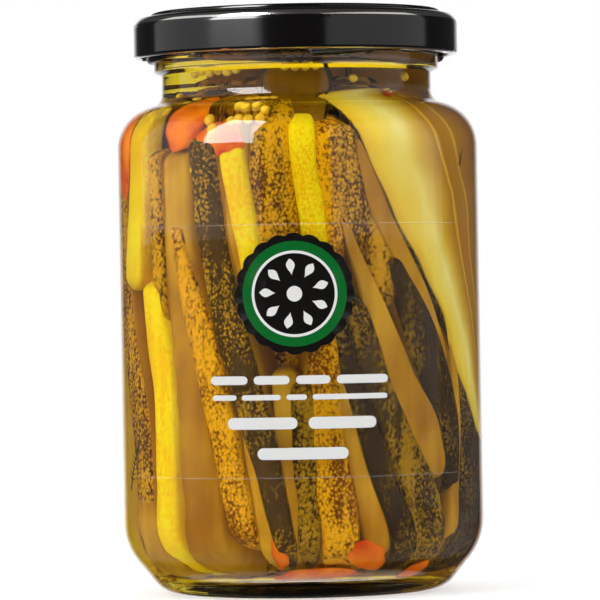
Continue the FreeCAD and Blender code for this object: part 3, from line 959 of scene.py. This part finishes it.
# %% [markdown]
# ## Studio
# The jar stands on a pale table top that keeps its shadow. The top glows a little, more so for rays through
# the glass, as a lit table does, and mirrors don't see it, because the wetted walls would spread it as a
# milky haze. A plain plane under brighter lamps could do, but it would wash the shadow out.

# %% Floor
FLOOR_RADIUS = 0.32
FLOOR_GLOW = 0.5
GLOW_THROUGH_GLASS = 0.9


def pale_floor():
    """Matt pale board that glows for the camera and for rays through glass."""
    material, tree, output = new_material("pale_floor")
    path = add(tree, "LightPath")
    through = add(tree, "Math", {0: path.outputs["Is Transmission Ray"], 1: GLOW_THROUGH_GLASS},
                  operation="MULTIPLY")
    glow = add(tree, "Math", {0: path.outputs["Is Camera Ray"], 1: FLOOR_GLOW,
                              2: through.outputs[0]}, operation="MULTIPLY_ADD")
    shader = add(tree, "BsdfPrincipled", {
        "Base Color": linear("#F2F2F2"), "Roughness": 0.9, "Emission Color": linear("#FFFFFF"),
        "Emission Strength": glow.outputs[0]})
    tree.links.new(shader.outputs["BSDF"], output.inputs["Surface"])
    return material


bpy.ops.mesh.primitive_circle_add(vertices=96, radius=FLOOR_RADIUS, fill_type="NGON",
                                  location=(0, 0, -0.0002))
floor = bpy.context.active_object
floor.name = "floor"
floor.visible_glossy = False
floor.data.materials.append(pale_floor())
print("floor", 2 * FLOOR_RADIUS, "m across")

# %% [markdown]
# The room is a white sweep behind the jar. The camera sees it at full white, rays through the glass see it
# bright behind and dim in front, and mirrors see little but the part straight behind. One flat white all
# round would be simpler, but glass shows its edges by having something dark to bend.

# %% Room
ROOM_FILL = 0.6


def white_room():
    """A world that is white for the camera and shaded from back to front for the glass."""
    world = bpy.data.worlds.new("white_room")
    world.use_nodes = True
    tree = world.node_tree
    tree.nodes.clear()
    path = add(tree, "LightPath")
    way = add(tree, "TexCoord").outputs["Generated"]
    parts = add(tree, "SeparateXYZ", {"Vector": way})
    behind = add(tree, "MapRange", {"Value": parts.outputs["Y"], "From Min": 0.9, "From Max": 0.97,
                                    "To Min": 0.05, "To Max": 1.0})
    around = add(tree, "MapRange", {"Value": parts.outputs["Y"], "From Min": -0.5, "From Max": 0.3,
                                    "To Min": 0.1, "To Max": 1.0})
    mirrored = add(tree, "Math", {0: path.outputs["Is Glossy Ray"], 1: behind.outputs["Result"]},
                   operation="MULTIPLY")
    through = add(tree, "Math", {0: path.outputs["Is Transmission Ray"],
                                 1: around.outputs["Result"]}, operation="MULTIPLY")
    seen = add(tree, "Math", {0: path.outputs["Is Camera Ray"], 1: through.outputs[0]},
               operation="MAXIMUM")
    shown = add(tree, "Math", {0: seen.outputs[0], 1: mirrored.outputs[0]}, operation="MAXIMUM")
    fill = add(tree, "Math", {0: path.outputs["Is Diffuse Ray"], 1: ROOM_FILL},
               operation="MULTIPLY")
    strength = add(tree, "Math", {0: shown.outputs[0], 1: fill.outputs[0]}, operation="MAXIMUM")
    light = add(tree, "Background", {"Color": linear("#FFFFFF"), "Strength": strength.outputs[0]})
    add(tree, "OutputWorld", {"Surface": light.outputs["Background"]})
    return world


bpy.context.scene.world = white_room()
print("world", bpy.context.scene.world.name)

# %% [markdown]
# Two tall soft panels stand in front, one each side with a dark gap between them, and light everything. A
# stronger one high on the left is seen by gloss alone and gives the shine on the shoulder. The others are
# seen only through the glass: three low strips and two inner lights, which brighten what stands in the
# brine and leave the lid, the print and the glass itself as they are. One large lamp would be simpler and
# closer to real light, but the glass and its contents could then not be set apart.

# %% Panels
def panel(name, degrees, spread, low, high, level, shows_in, distance=0.7):
    """An upright soft panel that faces the jar from so many degrees round from the camera.

    spread is the angle it fills, low and high are its edges' heights, and level is how bright it looks.
    """
    data = bpy.data.lights.new(name, "AREA")
    data.shape = "RECTANGLE"
    data.size, data.size_y = 2 * distance * math.tan(math.radians(spread / 2)), high - low
    data.energy = level * math.pi * data.size * data.size_y
    lamp = bpy.data.objects.new(name, data)
    bpy.context.collection.objects.link(lamp)
    turn = math.radians(degrees)
    way = Vector((math.sin(turn), -math.cos(turn), 0))
    lamp.location = way * distance + Vector((0, 0, (low + high) / 2))
    lamp.rotation_euler = (-way).to_track_quat("-Z", "Y").to_euler()
    lamp.visible_camera = False
    for kind in ("diffuse", "glossy", "transmission"):
        setattr(lamp, "visible_" + kind, kind in shows_in)
    print(name, "at", degrees, "degrees, level", level, "for", ", ".join(shows_in))


# name, degrees round from the camera, angle filled, lower and upper edge in m, level, rays that see it
ALL = ("diffuse", "glossy", "transmission")
panel("left_panel", -70, 94, 0.09, 0.9, 0.82, ALL)
panel("right_panel", 62, 82, 0.09, 0.9, 0.74, ALL)
panel("left_strip", -79, 24, -0.05, 0.09, 1.3, ("transmission",))
panel("right_strip", 45, 38, -0.05, 0.09, 1.0, ("transmission",))
panel("front_strip", -15, 60, -0.1, 0.07, 0.8, ("transmission",))
panel("glare_panel", -44, 34, 0.2, 1.2, 20.0, ("glossy",))
panel("left_inner_light", -52, 88, -0.1, 0.9, 1.3, ("transmission",))
panel("right_inner_light", 60, 80, 0.0, 0.9, 2.0, ("transmission",))

# %% [markdown]
# A long lens about a metre away, level with the middle of the jar, keeps the sides straight and the rims
# nearly flat. A short lens close by would fill the frame as well, but it would bow the lid and the base.

# %% Camera
LENS_MM = 276
AWAY = 1.05                 # m
EYE_HEIGHT = 0.0663         # m
ROLL = 1.0                  # degrees
eye = bpy.data.cameras.new("camera")
eye.lens = LENS_MM
camera = bpy.data.objects.new("camera", eye)
bpy.context.collection.objects.link(camera)
camera.location = (0.0, -AWAY, EYE_HEIGHT)
camera.rotation_euler = (math.pi / 2, math.radians(ROLL), 0)
bpy.context.scene.camera = camera
bpy.context.scene.view_settings.view_transform = "Standard"
print("camera", AWAY, "m away with a", LENS_MM, "mm lens")
